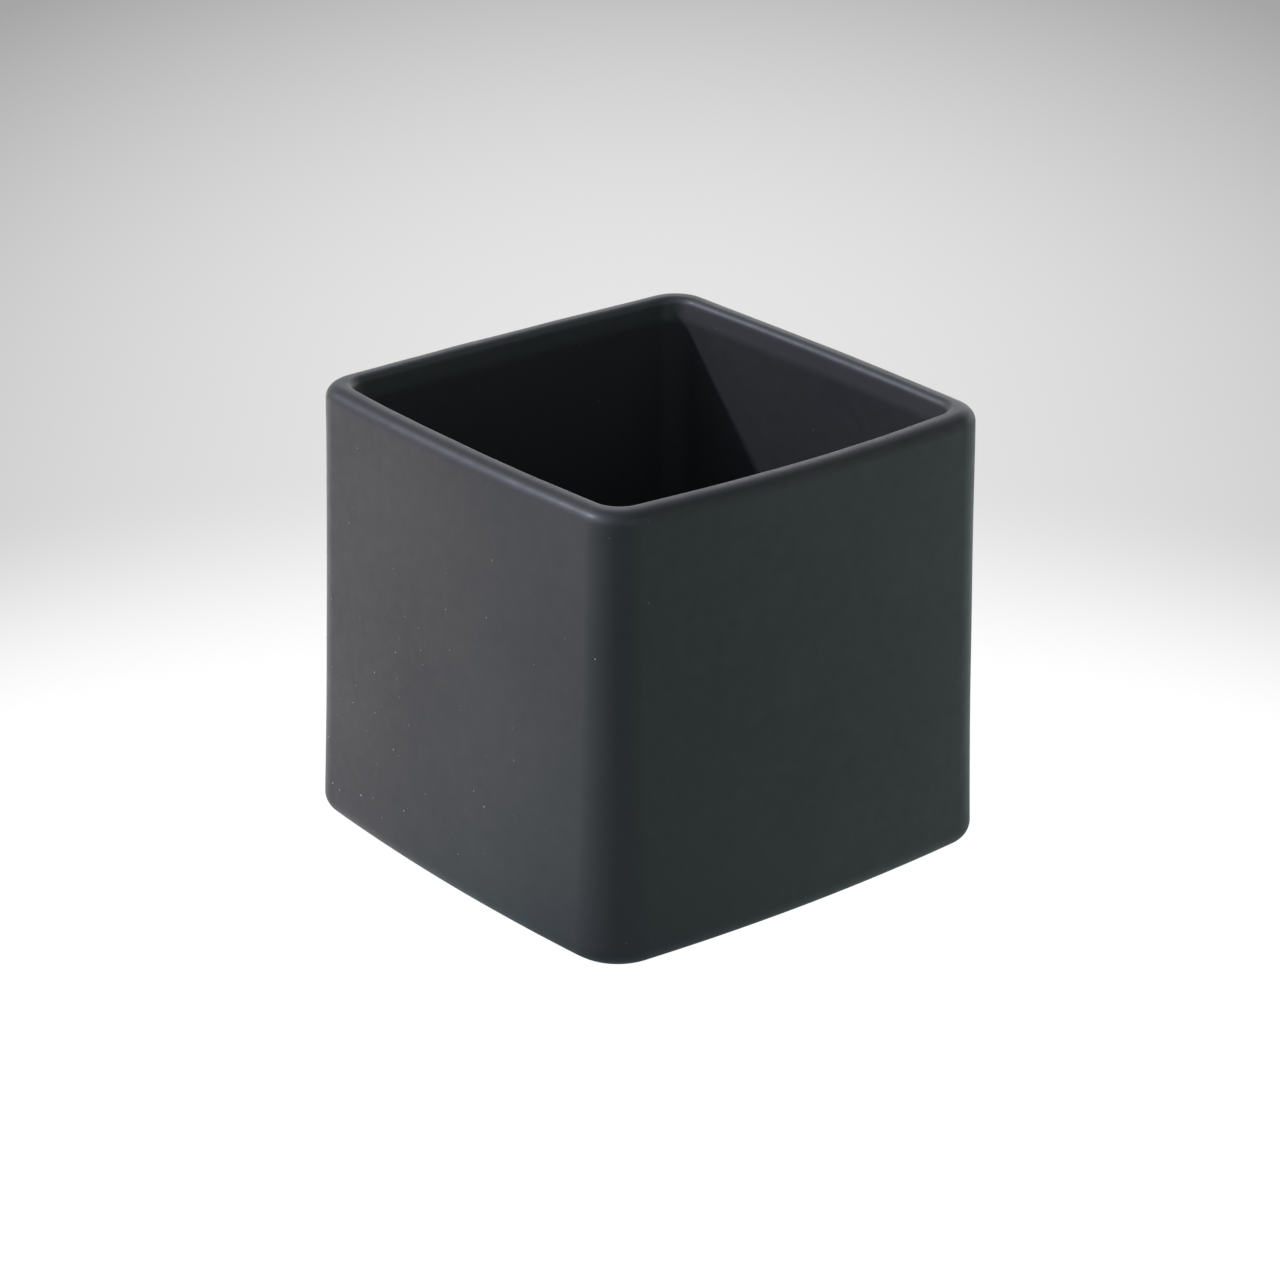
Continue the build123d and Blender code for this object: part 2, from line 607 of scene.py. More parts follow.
@dataclass(frozen=True)
class SkinProfile:
    """The section of the finished skin, from the foot over the rim to the cavity floor."""

    form: VesselForm
    floor_z: float
    glaze_line: float
    foot_radius: float = 3.5 * MM
    shoulder_radius: float = 2.2 * MM
    arris_radius: float = 1.0 * MM
    rim_wall: float = 3.6 * MM
    trim_wall: float = 4.3 * MM
    lower_wall: float = 4.5 * MM
    trim_depth: float = 3.6 * MM
    trim_blend: float = 0.6 * MM
    floor_radius: float = 3.8 * MM
    inner_corner: float = 4.0 * MM
    joint_depth: float = 1.5 * MM
    shoulder_thin: float = 0.3
    arris_thin: float = 0.9
    round_rings: int = 12
    wall_rings: int = 64
    shoulder_rings: int = 15
    arris_rings: int = 11
    bevel_rings: int = 26
    liner_rings: int = 40
    floor_rings: int = 16

    def outside_rings(self) -> list[Ring]:
        """Lay out the rings from the glaze line up to the crest of the rim."""
        form, top = self.form, self.form.height
        rings = []
        low = math.acos(1.0 - self.glaze_line / self.foot_radius)
        for angle in np.linspace(low, math.pi / 2, self.round_rings):
            inset = self.foot_radius * (1.0 - math.sin(angle))
            z = self.foot_radius * (1.0 - math.cos(angle))
            rings.append(Ring(z, inset, form.corner_radius - inset, outside=True))
        shoulder = top - self.shoulder_radius
        for z in np.linspace(self.foot_radius, shoulder, self.wall_rings)[1:-1]:
            rings.append(Ring(float(z), 0.0, form.corner_radius, outside=True))
        for angle in np.linspace(0.0, math.pi / 2, self.shoulder_rings):
            inset = self.shoulder_radius * (1.0 - math.cos(angle))
            z = top - self.shoulder_radius * (1.0 - math.sin(angle))
            thin = self.shoulder_thin * math.sin(angle)
            corner = form.corner_radius - inset
            rings.append(Ring(z, inset, corner, outside=True, thin=thin))
        return rings

    def inside_rings(self) -> list[Ring]:
        """Lay out the rings from the crest of the rim down to the middle of the floor."""
        top = self.form.height
        radius = self.arris_radius
        rings = []
        for angle in np.linspace(math.pi / 2, 0.0, self.arris_rings):
            back = radius * (1.0 - math.cos(angle))
            z = top - radius * (1.0 - math.sin(angle))
            rise = (self.arris_thin - self.shoulder_thin) * math.sin(2.0 * angle)
            thin = self.shoulder_thin + rise
            inset = self.bevel_inset(z) - back
            rings.append(Ring(z, inset, self.inner_corner + back, thin=thin))
        joint = top - self.joint_depth
        for z, thin in ((top - radius * 1.25, 0.1), (joint, 0.0)):
            rings.append(Ring(z, self.bevel_inset(z), self.inner_corner, thin=thin))
        below = top - 2.0 * self.trim_depth
        for z in np.linspace(joint, below, self.bevel_rings)[1:]:
            rings.append(Ring(float(z), self.bevel_inset(float(z)), self.inner_corner))
        low = self.floor_z + self.floor_radius
        for z in np.linspace(below, low, self.liner_rings)[1:]:
            rings.append(Ring(float(z), self.wall_inset(float(z)), self.inner_corner))
        for angle in np.linspace(0.0, math.pi / 2, self.round_rings)[1:]:
            bend = self.floor_radius * (1.0 - math.cos(angle))
            z = low - self.floor_radius * math.sin(angle)
            corner = self.inner_corner - bend * 0.9
            rings.append(Ring(z, self.wall_inset(z) + bend, corner))
        last = rings[-1]
        for shrink in np.linspace(1.0, 0.0, self.floor_rings)[1:-1]:
            rings.append(Ring(last.z, last.inset, last.corner, shrink=float(shrink)))
        return rings

    def wall_inset(self, z: float) -> float:
        """Give the inset of the cavity's wall at height z, below the trimmed bevel."""
        trim_z = self.form.height - self.trim_depth
        t = (trim_z - z) / (trim_z - self.floor_z)
        return self.trim_wall + (self.lower_wall - self.trim_wall) * t

    def bevel_inset(self, z: float) -> float:
        """Give the inset of the cavity's face at height z, with the trimmed bevel eased in."""
        trim_z = self.form.height - self.trim_depth
        slope = (self.trim_wall - self.rim_wall) / self.trim_depth
        bevel = self.rim_wall + slope * (self.form.height - z)
        sharp = bevel if z > trim_z else self.wall_inset(z)
        overlap = max(0.0, self.trim_blend - abs(z - trim_z))
        return sharp - slope * overlap**2 / (4.0 * self.trim_blend)


@dataclass(frozen=True)
class HandDrift:
    """Slow unevenness that casting and dipping leave, as a sum of seeded waves."""

    seed: int
    reach: float
    shortest: float
    longest: float
    waves: int = 14

    def at(self, points: np.ndarray) -> np.ndarray:
        """Give how far the surface stands out at each point.

        Args:
            points: An array whose last axis holds x, y and z in metres.

        Returns:
            One distance in metres for each point.
        """
        rng = np.random.default_rng(self.seed)
        total = np.zeros(points.shape[:-1])
        for _ in range(self.waves):
            heading = rng.normal(size=3)
            heading /= np.linalg.norm(heading)
            length = self.shortest * (self.longest / self.shortest) ** rng.random()
            phase = rng.uniform(0.0, math.tau)
            wave = np.sin(points @ heading * (math.tau / length) + phase)
            total += wave * (length / self.longest)
        return total * self.reach / math.sqrt(self.waves)


def grid_normals(points: np.ndarray, closed_end: bool = False) -> np.ndarray:
    """Work out the outward normal at each point of a grid of rings.

    Args:
        points: Rings by points by three numbers, each ring closed on itself.
        closed_end: Whether the last ring lies flat round a pole.

    Returns:
        An array of unit normals of the same shape.
    """
    along = np.gradient(points, axis=0)
    around = np.roll(points, -1, axis=1) - np.roll(points, 1, axis=1)
    normals = np.cross(around, along)
    if closed_end:
        normals[-1] = (0.0, 0.0, 1.0)
    return normals / np.linalg.norm(normals, axis=2, keepdims=True)


@dataclass
class FinishedSkin:
    """The whole finished surface as one grid, which the outer and liner coats share."""

    profile: SkinProfile
    body_drift: HandDrift = HandDrift(3, 0.07 * MM, 18 * MM, 60 * MM)
    rim_drift: HandDrift = HandDrift(8, 0.035 * MM, 7 * MM, 16 * MM)
    rim_band: float = 9 * MM
    rim_ease: float = 7 * MM
    foot_ease: float = 4 * MM
    points: np.ndarray = field(init=False)
    normals: np.ndarray = field(init=False)
    thin: np.ndarray = field(init=False)
    joint: int = field(init=False)

    def __post_init__(self) -> None:
        """Lay out the rings, let them drift, and work out their normals."""
        outside, inside = self.profile.outside_rings(), self.profile.inside_rings()
        rings = outside + inside
        ideal = np.array([self.profile.form.outline(ring) for ring in rings])
        facing = grid_normals(ideal, closed_end=True)
        top = self.profile.form.height
        level = ideal[:, :, 2]
        near_rim = np.clip((level - (top - self.rim_band)) / self.rim_ease, 0.0, 1.0)
        steady = np.clip(level / self.foot_ease, 0.0, 1.0)
        drift = self.body_drift.at(ideal) * steady + self.rim_drift.at(ideal) * near_rim
        self.points = ideal + facing * drift[:, :, None]
        self.normals = grid_normals(self.points, closed_end=True)
        self.thin = np.array([ring.thin for ring in rings])
        joint_z = top - self.profile.joint_depth
        self.joint = len(outside) + next(
            place for place, ring in enumerate(inside) if ring.z <= joint_z + 1e-9
        )


@dataclass
class CoatShell:
    """One glaze coat: a run of the skin's rings, closed behind at the coat's thickness."""

    coat: Coat
    thickness: float = 0.3 * MM

    def build(self, skin: FinishedSkin, rows: slice, pole: bool) -> bpy.types.Object:
        """Make the coat's closed mesh.

        Args:
            skin: The finished surface to cover.
            rows: Which of the skin's rings the coat spans.
            pole: Whether the last ring is closed by a point in its middle.

        Returns:
            The coat's object, at the origin.
        """
        front, facing = skin.points[rows], skin.normals[rows]
        back = front - facing * self.thickness
        count, around = front.shape[:2]
        places = np.concatenate([front.reshape(-1, 3), back.reshape(-1, 3)])
        behind = count * around
        index = np.arange(count * around).reshape(count, around)
        step = np.roll(index, -1, axis=1)
        seen = np.stack([index[:-1], step[:-1], step[1:], index[1:]], axis=-1).reshape(-1, 4)
        hidden = seen[:, ::-1] + behind
        first = np.stack([step[0], index[0], index[0] + behind, step[0] + behind], axis=-1)
        faces = [seen, hidden, first]
        if not pole:
            last = np.stack(
                [index[-1], step[-1], step[-1] + behind, index[-1] + behind], axis=-1
            )
            faces.append(last)
        quads = np.concatenate(faces).tolist()
        if pole:
            middle_front, middle_back = len(places), len(places) + 1
            places = np.concatenate([places, front[-1:].mean(axis=1), back[-1:].mean(axis=1)])
            quads += [[int(a), int(b), middle_front] for a, b in zip(index[-1], step[-1])]
            quads += [
                [int(b) + behind, int(a) + behind, middle_back]
                for a, b in zip(index[-1], step[-1])
            ]
        mesh = bpy.data.meshes.new(f"{self.coat.value}_skin")
        mesh.from_pydata(places.tolist(), [], quads)
        mesh.update()
        mesh.shade_smooth()
        self.set_normals(mesh, facing.reshape(-1, 3), behind)
        thin = np.zeros(len(places), np.float32)
        thin[:behind] = np.repeat(skin.thin[rows], around)
        mesh.attributes.new("glaze_thin", "FLOAT", "POINT").data.foreach_set("value", thin)
        seen_points = np.zeros(len(places), np.float32)
        seen_points[:behind] = 1.0
        mesh.attributes.new("seen", "FLOAT", "POINT").data.foreach_set("value", seen_points)
        made = bpy.data.objects.new(f"{self.coat.value}_skin", mesh)
        bpy.context.scene.collection.objects.link(made)
        return made

    @staticmethod
    def set_normals(mesh: bpy.types.Mesh, facing: np.ndarray, behind: int) -> None:
        """Give the mesh the skin's own normals, so that two coats meet without a mark.

        Args:
            mesh: The coat's mesh, its seen points first.
            facing: The normal of each seen point.
            behind: How many points are seen; the hidden ones follow.
        """
        table = np.concatenate([facing, -facing, [[0.0, 0.0, 1.0], [0.0, 0.0, -1.0]]])
        corners = np.zeros(len(mesh.loops), np.int64)
        mesh.loops.foreach_get("vertex_index", corners)
        chosen = table[corners]
        sizes = np.zeros(len(mesh.polygons), np.int64)
        mesh.polygons.foreach_get("loop_total", sizes)
        flat = np.zeros(len(mesh.polygons) * 3)
        mesh.polygons.foreach_get("normal", flat)
        owner = np.repeat(np.arange(len(sizes)), sizes)
        is_front = corners < behind
        fronts = np.zeros(len(sizes), np.int64)
        np.add.at(fronts, owner, is_front.astype(np.int64))
        mixed = (fronts > 0) & (fronts < sizes) & (sizes == 4)
        edge_corner = mixed[owner]
        chosen[edge_corner] = flat.reshape(-1, 3)[owner[edge_corner]]
        mesh.normals_split_custom_set(chosen.tolist())


# ---- Pips ----


@dataclass
class StrayScatter:
    """Small bits strewn over a coat by a Geometry Nodes tree and fused into one mesh.

    The density holds at the foot, on the side that the heading points to.
    """

    name: str
    seed: int
    density: float
    smallest: float
    largest: float
    squash: float = 0.55
    top_share: float = 0.1
    # The heading points towards the key light, so the pale pips, which are painted glints, gather
    # on the lit side.
    heading: tuple[float, float, float] = (-0.6, -0.8, 0.0)
    spread: float = 52.0 * MM

    def tree(self) -> bpy.types.NodeTree:
        """Build the tree that strews one kind of bit over the seen side of a coat.

        Returns:
            A geometry group with named inputs for the bits' number and sizes.
        """
        tree, ins, outs = group_tree(
            f"strew_{self.name}",
            "GeometryNodeTree",
            [
                ("Geometry", "NodeSocketGeometry", None),
                ("Density", "NodeSocketFloat", 0.0),
                ("Smallest", "NodeSocketFloat", 0.0),
                ("Largest", "NodeSocketFloat", 0.0),
                ("Squash", "NodeSocketFloat", 1.0),
                ("Top Share", "NodeSocketFloat", 1.0),
                ("Height", "NodeSocketFloat", 1.0),
                ("Heading", "NodeSocketVector", None),
                ("Spread", "NodeSocketFloat", 1.0),
                ("Seed", "NodeSocketInt", 0),
                ("Finish", "NodeSocketMaterial", None),
            ],
            [("Geometry", "NodeSocketGeometry")],
        )
        link = tree.links.new
        place = new_node(tree, "GeometryNodeInputPosition")
        split = new_node(tree, "ShaderNodeSeparateXYZ")
        link(place.outputs[0], split.inputs[0])
        rise = math_node(tree, "DIVIDE", split.outputs["Z"], ins.outputs["Height"])
        fewer = math_node(tree, "SUBTRACT", ins.outputs["Top Share"], 1.0)
        share = math_node(tree, "MULTIPLY_ADD", rise, fewer, 1.0)
        seen = new_node(tree, "GeometryNodeInputNamedAttribute", data_type="FLOAT")
        seen.inputs["Name"].default_value = "seen"
        along = new_node(tree, "ShaderNodeVectorMath", operation="DOT_PRODUCT")
        link(place.outputs[0], along.inputs[0])
        link(ins.outputs["Heading"], along.inputs[1])
        near = math_node(tree, "DIVIDE", along.outputs["Value"], ins.outputs["Spread"])
        near = math_node(tree, "POWER", math_node(tree, "MAXIMUM", near, 0.0), 2.0)
        share = math_node(tree, "MULTIPLY", share, near)
        count = math_node(tree, "MULTIPLY", ins.outputs["Density"], share)
        strew = new_node(tree, "GeometryNodeDistributePointsOnFaces")
        link(ins.outputs["Geometry"], strew.inputs["Mesh"])
        link(math_node(tree, "MULTIPLY", count, seen.outputs[0]), strew.inputs["Density"])
        link(ins.outputs["Seed"], strew.inputs["Seed"])
        ball = new_node(tree, "GeometryNodeMeshUVSphere", Segments=8, Rings=5, Radius=1.0)
        smooth = new_node(tree, "GeometryNodeSetShadeSmooth")
        link(ball.outputs["Mesh"], smooth.inputs["Geometry"])
        chance = new_node(tree, "FunctionNodeRandomValue", data_type="FLOAT")
        link(ins.outputs["Seed"], chance.inputs["Seed"])
        skew = math_node(tree, "POWER", chance.outputs[1], 3.0)
        spread = math_node(tree, "SUBTRACT", ins.outputs["Largest"], ins.outputs["Smallest"])
        radius = math_node(tree, "MULTIPLY_ADD", skew, spread, ins.outputs["Smallest"])
        size = new_node(tree, "ShaderNodeCombineXYZ")
        link(radius, size.inputs["X"])
        link(radius, size.inputs["Y"])
        link(math_node(tree, "MULTIPLY", radius, ins.outputs["Squash"]), size.inputs["Z"])
        put = new_node(tree, "GeometryNodeInstanceOnPoints")
        link(strew.outputs["Points"], put.inputs["Points"])
        link(smooth.outputs[0], put.inputs["Instance"])
        link(strew.outputs["Rotation"], put.inputs["Rotation"])
        link(size.outputs[0], put.inputs["Scale"])
        real = new_node(tree, "GeometryNodeRealizeInstances")
        link(put.outputs[0], real.inputs[0])
        dress = new_node(tree, "GeometryNodeSetMaterial")
        link(real.outputs[0], dress.inputs["Geometry"])
        link(ins.outputs["Finish"], dress.inputs["Material"])
        link(dress.outputs[0], outs.inputs[0])
        return tree

    def build(self, coat: bpy.types.Object, finish: bpy.types.Material) -> bpy.types.Object:
        """Strew the bits over a coat.

        Args:
            coat: The coat's object, at the origin.
            finish: The bits' material.

        Returns:
            The bits as one plain mesh object at the origin.
        """
        made = bpy.data.objects.new(self.name, coat.data.copy())
        bpy.context.scene.collection.objects.link(made)
        modifier = made.modifiers.new("strew", "NODES")
        modifier.node_group = self.tree()
        wanted = {
            "Density": self.density,
            "Smallest": self.smallest,
            "Largest": self.largest,
            "Squash": self.squash,
            "Top Share": self.top_share,
            "Height": max(corner[2] for corner in coat.bound_box),
            "Heading": self.heading,
            "Spread": self.spread,
            "Seed": self.seed,
            "Finish": finish,
        }
        for item in modifier.node_group.interface.items_tree:
            if item.in_out == "INPUT" and item.name in wanted:
                modifier[item.identifier] = wanted[item.name]
        solid = made.evaluated_get(bpy.context.evaluated_depsgraph_get())
        mesh = bpy.data.meshes.new_from_object(solid)
        made.modifiers.clear()
        made.data = mesh
        mesh.name = self.name
        return made


# ---- The vessel ----


@dataclass
class CandleVessel:
    """The finished vessel: two glaze coats over the clay body, and the patch in the foot."""

    effects: EffectLibrary
    height: float
    floor_z: float
    glaze_line: float
    outer_finish: GlazeFinish = GlazeFinish("outer_glaze_finish")
    liner_finish: GlazeFinish = GlazeFinish("liner_glaze_finish")
    recess_finish: GlazeFinish = GlazeFinish("recess_glaze_finish", hole_share=0.4)
    clay: ClayFinish = ClayFinish()
    pip_glint_finish: PipGlintFinish = PipGlintFinish()
    # Pale pips as painted glints, gathered at the foot and on the key-lit side.
    pips: StrayScatter = field(
        default_factory=lambda: StrayScatter(
            "glaze_pips", 11, 90000.0, 0.04 * MM, 0.17 * MM
        )
    )

    def build(self) -> list[bpy.types.Object]:
        """Build and dress every piece.

        Returns:
            The pieces made here, already riding on the body.
        """
        profile = SkinProfile(VesselForm(self.height), self.floor_z, self.glaze_line)
        skin = FinishedSkin(profile)
        outer = self.coat(Coat.OUTER, self.outer_finish, skin, slice(0, skin.joint + 1), False)
        liner = self.coat(Coat.LINER, self.liner_finish, skin, slice(skin.joint, None), True)
        pips = self.pips.build(outer, self.pip_glint_finish.material(self.effects))
        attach(pips, BODY)
        self.dress_node(Coat.RECESS.value, self.recess_finish.material(self.effects))
        self.dress_node("ceramic_body", self.clay.material(self.effects))
        made = [outer, liner, pips]
        for piece in made:
            LOG.info("%s: %d faces", piece.name, len(piece.data.polygons))
        return made

    def coat(
        self, coat: Coat, finish: GlazeFinish, skin: FinishedSkin, rows: slice, pole: bool
    ) -> bpy.types.Object:
        """Build one coat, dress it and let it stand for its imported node.

        Args:
            coat: Which coat to build.
            finish: The coat's glaze.
            skin: The finished surface.
            rows: The rings of the skin that the coat spans.
            pole: Whether the last ring closes round a point.

        Returns:
            The coat's object.
        """
        piece = CoatShell(coat).build(skin, rows, pole)
        piece.data.materials.append(finish.material(self.effects))
        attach(piece, BODY)
        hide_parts(coat.value)
        return piece

    @staticmethod
    def dress_node(node: str, finish: bpy.types.Material) -> None:
        """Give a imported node, whose shape stays as it is, its finish.

        Args:
            node: The node's name.
            finish: The material for all its faces.
        """
        for place in bpy.data.objects[node].material_slots:
            place.link = "OBJECT"
            place.material = finish
        LOG.info("%s: dressed in %s", node, finish.name)


# ---- Studio and camera ----


@dataclass(frozen=True)
class GlowPatch:
    """A patch of soft light round one direction, fading evenly to nothing at its edges."""

    bearing: float
    colour: RGB
    rise: float = 0.0
    half_turn: float = 45.0
    half_rise: float = 30.0

    def share(
        self, tree: bpy.types.NodeTree, turn: bpy.types.NodeSocket, lift: object
    ) -> bpy.types.NodeSocket:
        """Add the nodes that tell how strongly the patch shines from a direction.

        Args:
            tree: The tree to add to.
            turn: The direction's bearing, counted from +X towards +Y.
            lift: The direction's rise over the table.

        Returns:
            A value of 1 in the middle of the patch and 0 outside it.
        """
        off = math_node(tree, "SUBTRACT", turn, math.radians(self.bearing))
        off = math_node(
            tree, "ARCTAN2", math_node(tree, "SINE", off), math_node(tree, "COSINE", off)
        )
        over = math_node(tree, "SUBTRACT", lift, math.radians(self.rise))
        return math_node(
            tree,
            "MULTIPLY",
            self.fade(tree, off, self.half_turn),
            self.fade(tree, over, self.half_rise),
        )

    @staticmethod
    def fade(
        tree: bpy.types.NodeTree, off: bpy.types.NodeSocket, reach: float
    ) -> bpy.types.NodeSocket:
        """Add the nodes for an even fade from 1 at no offset to 0 at a reach in degrees."""
        used = math_node(
            tree, "DIVIDE", math_node(tree, "ABSOLUTE", off), math.radians(reach)
        )
        return math_node(tree, "MAXIMUM", math_node(tree, "SUBTRACT", 1.0, used), 0.0)


def add_up(
    tree: bpy.types.NodeTree,
    patches: tuple[GlowPatch, ...],
    spot: bpy.types.NodeSocket,
    level: bool,
) -> bpy.types.NodeSocket:
    """Add the nodes for the light of several patches together.

    Args:
        tree: The tree to add to.
        patches: The patches.
        spot: The direction, or the spot on a floor as seen from the origin.
        level: Whether only the bearing counts.

    Returns:
        The colour of their light.
    """
    split = new_node(tree, "ShaderNodeSeparateXYZ")
    tree.links.new(spot, split.inputs[0])
    turn = math_node(tree, "ARCTAN2", split.outputs["Y"], split.outputs["X"])
    lift = 0.0 if level else math_node(tree, "ARCSINE", split.outputs["Z"])
    total = None
    for patch in patches:
        term = new_node(tree, "ShaderNodeVectorMath", operation="MULTIPLY_ADD")
        term.inputs[0].default_value = patch.colour
        tree.links.new(patch.share(tree, turn, lift), term.inputs[1])
        if total is not None:
            tree.links.new(total, term.inputs[2])
        total = term.outputs[0]
    return total


@dataclass(frozen=True)
class Studio:
    """A pale floor that glows with a painted pool of light, a key light and soft patches of light
    all round.

    The floor is in two layers: one is seen and glows with a painted pool of light that fades to a
    painted grey falloff, never shadowed; the other glows to light the vessel.
    """

    azimuth: float
    floor_reach: float = 4.0
    floor_drop: float = 0.05 * MM
    # Painted light on the seen floor: an emitted white pool and a fade to grey, with no shadow.
    pool_offset: float = 139 * MM
    pool_edge: tuple[float, float] = (188 * MM, 299 * MM)
    pool_white: float = 1.03
    fade_start: float = 210 * MM
    fade_away: float = 480 * MM
    fade_across: float = 277 * MM
    lightest_falloff_grey: float = 0.79
    darkest_falloff_grey: float = 0.38
    footprint: tuple[float, float] = (28.0 * MM, 38.0 * MM)
    under: RGB = (0.62, 0.62, 0.62)
    key_from: tuple[float, float, float] = (-0.52, -0.60, 0.61)
    key_power: float = 2.1
    key_colour: RGB = (0.95, 0.99, 1.15)
    key_spread: float = 2.7
    sky_patches: tuple[GlowPatch, ...] = (
        GlowPatch(-135.0, (1.8, 1.9, 2.3), 30.0),
        GlowPatch(-90.0, (1.3, 1.4, 1.7), 30.0),
        GlowPatch(0.0, (1.7, 2.0, 2.0), 30.0),
        GlowPatch(135.0, (1.9, 1.9, 2.1), 30.0),
        GlowPatch(90.0, (2.3, 2.5, 2.4), 8.0, half_rise=22.0),
        GlowPatch(135.0, (2.0, 2.0, 2.0), 8.0, 60.0, 22.0),
        GlowPatch(-90.0, (0.6, 0.7, 0.9), 60.0, 60.0),
    )
    floor_patches: tuple[GlowPatch, ...] = (
        GlowPatch(-180.0, (1.9, 1.9, 1.8)),
        GlowPatch(-135.0, (1.15, 1.05, 1.1)),
        GlowPatch(-90.0, (0.68, 0.81, 0.82)),
        GlowPatch(-45.0, (0.25, 0.31, 0.37)),
        GlowPatch(0.0, (0.35, 0.43, 0.42)),
        GlowPatch(45.0, (0.50, 0.59, 0.59)),
        GlowPatch(90.0, (0.95, 1.1, 1.1)),
        GlowPatch(135.0, (1.1, 1.1, 1.1)),
    )

    def build(self) -> None:
        """Make the floors, the key light and the sky."""
        seen = self.floor("floor_seen", self.seen_floor())
        lit = self.floor("floor_lit", self.lit_floor())
        lit.visible_camera = False
        seen.visible_diffuse = False
        seen.visible_glossy = False
        seen.visible_transmission = False
        seen.visible_shadow = False
        self.key()
        self.air()
        settings = bpy.context.scene.view_settings
        settings.view_transform = "Standard"

    def floor(self, name: str, finish: bpy.types.Material) -> bpy.types.Object:
        """Make one level floor.

        Args:
            name: The floor's name.
            finish: Its material.

        Returns:
            The floor's object.
        """
        reach, z = self.floor_reach, -self.floor_drop
        mesh = bpy.data.meshes.new(name)
        corners = [(-reach, -reach, z), (reach, -reach, z), (reach, reach, z), (-reach, reach, z)]
        mesh.from_pydata(corners, [], [(0, 1, 2, 3)])
        mesh.materials.append(finish)
        made = bpy.data.objects.new(name, mesh)
        bpy.context.scene.collection.objects.link(made)
        return made

    def lit_floor(self) -> bpy.types.Material:
        """Make the glowing material that throws light up at the vessel."""
        made = bpy.data.materials.new("floor_glow")
        made.use_nodes = True
        tree = made.node_tree
        tree.nodes.clear()
        where = new_node(tree, "ShaderNodeTexCoord")
        glow = new_node(tree, "ShaderNodeEmission")
        light = add_up(tree, self.floor_patches, where.outputs["Object"], level=True)
        reach = new_node(tree, "ShaderNodeVectorMath", operation="LENGTH")
        tree.links.new(where.outputs["Object"], reach.inputs[0])
        beyond = remap(tree, reach.outputs["Value"], self.footprint, (0.0, 1.0), smooth=True)
        light = blend_colours(tree, beyond, self.under, light)
        tree.links.new(light, glow.inputs["Color"])
        out = new_node(tree, "ShaderNodeOutputMaterial")
        tree.links.new(glow.outputs[0], out.inputs["Surface"])
        return made

    def seen_floor(self) -> bpy.types.Material:
        """Make the seen floor's glow: a painted white pool of light that fades to a painted grey
        falloff.

        Returns:
            The material.
        """
        made = bpy.data.materials.new("floor_painted_pool")
        made.use_nodes = True
        tree = made.node_tree
        tree.nodes.clear()
        where = new_node(tree, "ShaderNodeTexCoord")
        turn = new_node(tree, "ShaderNodeMapping", vector_type="POINT")
        turn.inputs["Rotation"].default_value[2] = -math.radians(self.azimuth)
        tree.links.new(where.outputs["Object"], turn.inputs["Vector"])
        split = new_node(tree, "ShaderNodeSeparateXYZ")
        tree.links.new(turn.outputs[0], split.inputs[0])
        across, away = split.outputs["X"], split.outputs["Y"]
        # Painted pool of light and painted falloff to grey, given out as emission.
        ahead = math_node(tree, "ADD", away, self.pool_offset)
        off = math_node(tree, "ADD", square(tree, across), square(tree, ahead))
        reach = math_node(tree, "SQRT", off)
        pool = remap(tree, reach, self.pool_edge, (1.0, 0.0), smooth=True)
        past = math_node(tree, "SUBTRACT", away, self.fade_start)
        past = math_node(tree, "MAXIMUM", past, 0.0)
        fall_away = square(tree, math_node(tree, "DIVIDE", past, self.fade_away))
        fall_across = square(tree, math_node(tree, "DIVIDE", across, self.fade_across))
        fall = math_node(tree, "ADD", fall_away, fall_across)
        dim = math_node(tree, "EXPONENT", math_node(tree, "MULTIPLY", fall, -1.0))
        grey = math_node(tree, "MULTIPLY", self.lightest_falloff_grey, dim)
        grey = math_node(tree, "MAXIMUM", grey, self.darkest_falloff_grey)
        lift = math_node(tree, "SUBTRACT", self.pool_white, grey)
        tone = math_node(tree, "MULTIPLY_ADD", lift, pool, grey)
        glow = new_node(tree, "ShaderNodeEmission")
        tree.links.new(tone, glow.inputs["Color"])
        clear = new_node(tree, "ShaderNodeBsdfTransparent")
        side = new_node(tree, "ShaderNodeNewGeometry")
        choose = new_node(tree, "ShaderNodeMixShader")
        tree.links.new(side.outputs["Backfacing"], choose.inputs[0])
        tree.links.new(glow.outputs[0], choose.inputs[1])
        tree.links.new(clear.outputs[0], choose.inputs[2])
        out = new_node(tree, "ShaderNodeOutputMaterial")
        tree.links.new(choose.outputs[0], out.inputs["Surface"])
        return made

    def key(self) -> None:
        """Make the compact key light."""
        light = bpy.data.lights.new("key", "SUN")
        light.energy = self.key_power
        light.color = self.key_colour
        light.angle = math.radians(self.key_spread)
        made = bpy.data.objects.new("key", light)
        made.rotation_mode = "QUATERNION"
        made.rotation_quaternion = Vector(self.key_from).to_track_quat("Z", "Y")
        bpy.context.scene.collection.objects.link(made)

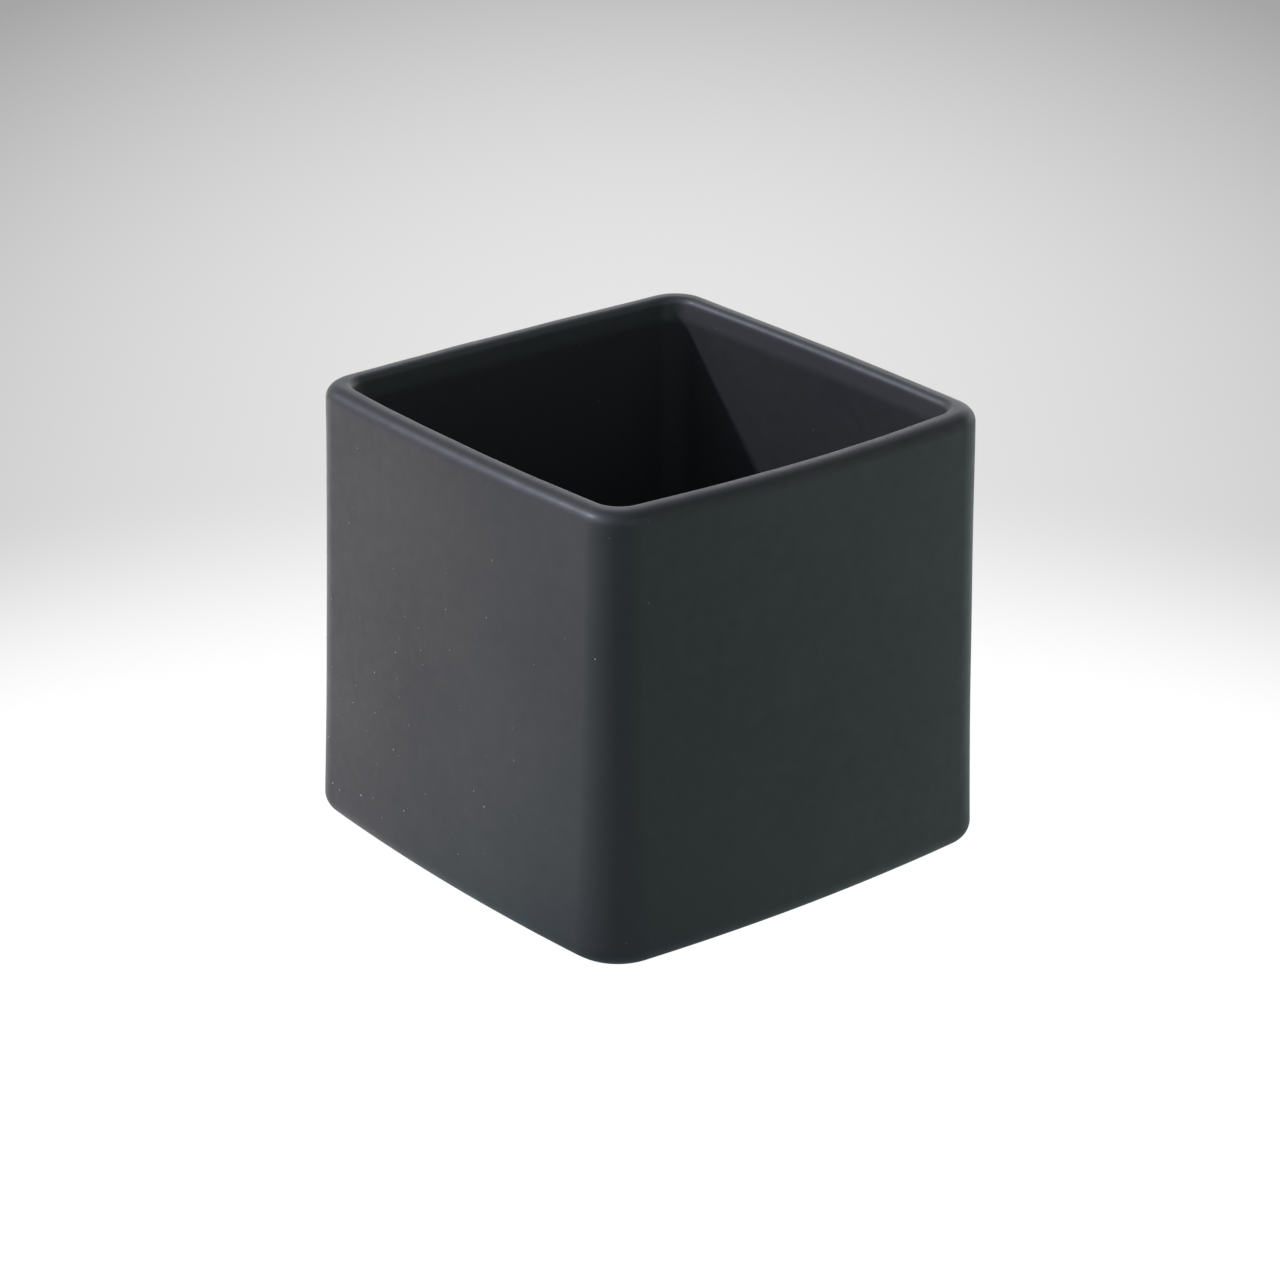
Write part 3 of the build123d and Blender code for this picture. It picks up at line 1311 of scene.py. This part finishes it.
    def air(self) -> None:
        """Make the soft sky."""
        world = bpy.data.worlds.new("soft_sky")
        world.use_nodes = True
        bpy.context.scene.world = world
        tree = world.node_tree
        where = new_node(tree, "ShaderNodeTexCoord")
        light = add_up(tree, self.sky_patches, where.outputs["Generated"], level=False)
        tree.links.new(light, tree.nodes["Background"].inputs["Color"])


@dataclass(frozen=True)
class CameraRig:
    """The camera, placed by angles round the middle of the vessel."""

    azimuth: float = 50.65
    elevation: float = 23.24
    roll: float = 0.41
    distance: float = 641.9 * MM
    lens: float = 116.4
    aim_across: float = -1.04 * MM
    aim_up: float = -4.16 * MM
    sensor: float = 36.0
    clip: tuple[float, float] = (0.01, 20.0)

    def build(self, centre: Vector) -> None:
        """Make the scene's camera.

        Args:
            centre: The middle of the vessel.
        """
        turn, lift, lean = map(math.radians, (self.azimuth, self.elevation, self.roll))
        back = Vector(
            (math.sin(turn) * math.cos(lift), -math.cos(turn) * math.cos(lift), math.sin(lift))
        )
        level = Vector((math.cos(turn), math.sin(turn), 0.0))
        across = (math.cos(lean) * level + math.sin(lean) * back.cross(level)).normalized()
        up = back.cross(across)
        place = centre + back * self.distance
        aim = centre + across * self.aim_across + up * self.aim_up
        back = (place - aim).normalized()
        across = (across - back * across.dot(back)).normalized()
        frame = Matrix((across, back.cross(across), back)).transposed().to_4x4()
        frame.translation = place
        data = bpy.data.cameras.new("camera")
        data.lens = self.lens
        data.sensor_width = self.sensor
        data.clip_start, data.clip_end = self.clip
        made = bpy.data.objects.new("camera", data)
        made.matrix_world = frame
        bpy.context.scene.collection.objects.link(made)
        bpy.context.scene.camera = made


def corners(box: tuple[Vector, Vector]) -> list[list[float]]:
    """Give a box's two corners as plain lists."""
    return [list(corner) for corner in box]


def main() -> None:
    """Build the vessel, the studio and the camera."""
    logging.basicConfig(level=logging.INFO, format="%(name)s: %(message)s")
    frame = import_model()
    mounts = {mount["name"]: mount for mount in frame["record"]["mounts"]}
    floor_z = mounts["inner_floor"]["pos_m"][2]
    outer_low, outer_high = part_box(Coat.OUTER.value)
    rig = CameraRig()
    CandleVessel(EffectLibrary(), outer_high[2], floor_z, outer_low[2]).build()
    Studio(rig.azimuth).build()
    rig.build(Vector((0.0, 0.0, outer_high[2] / 2.0)))


if __name__ == "__main__":
    main()
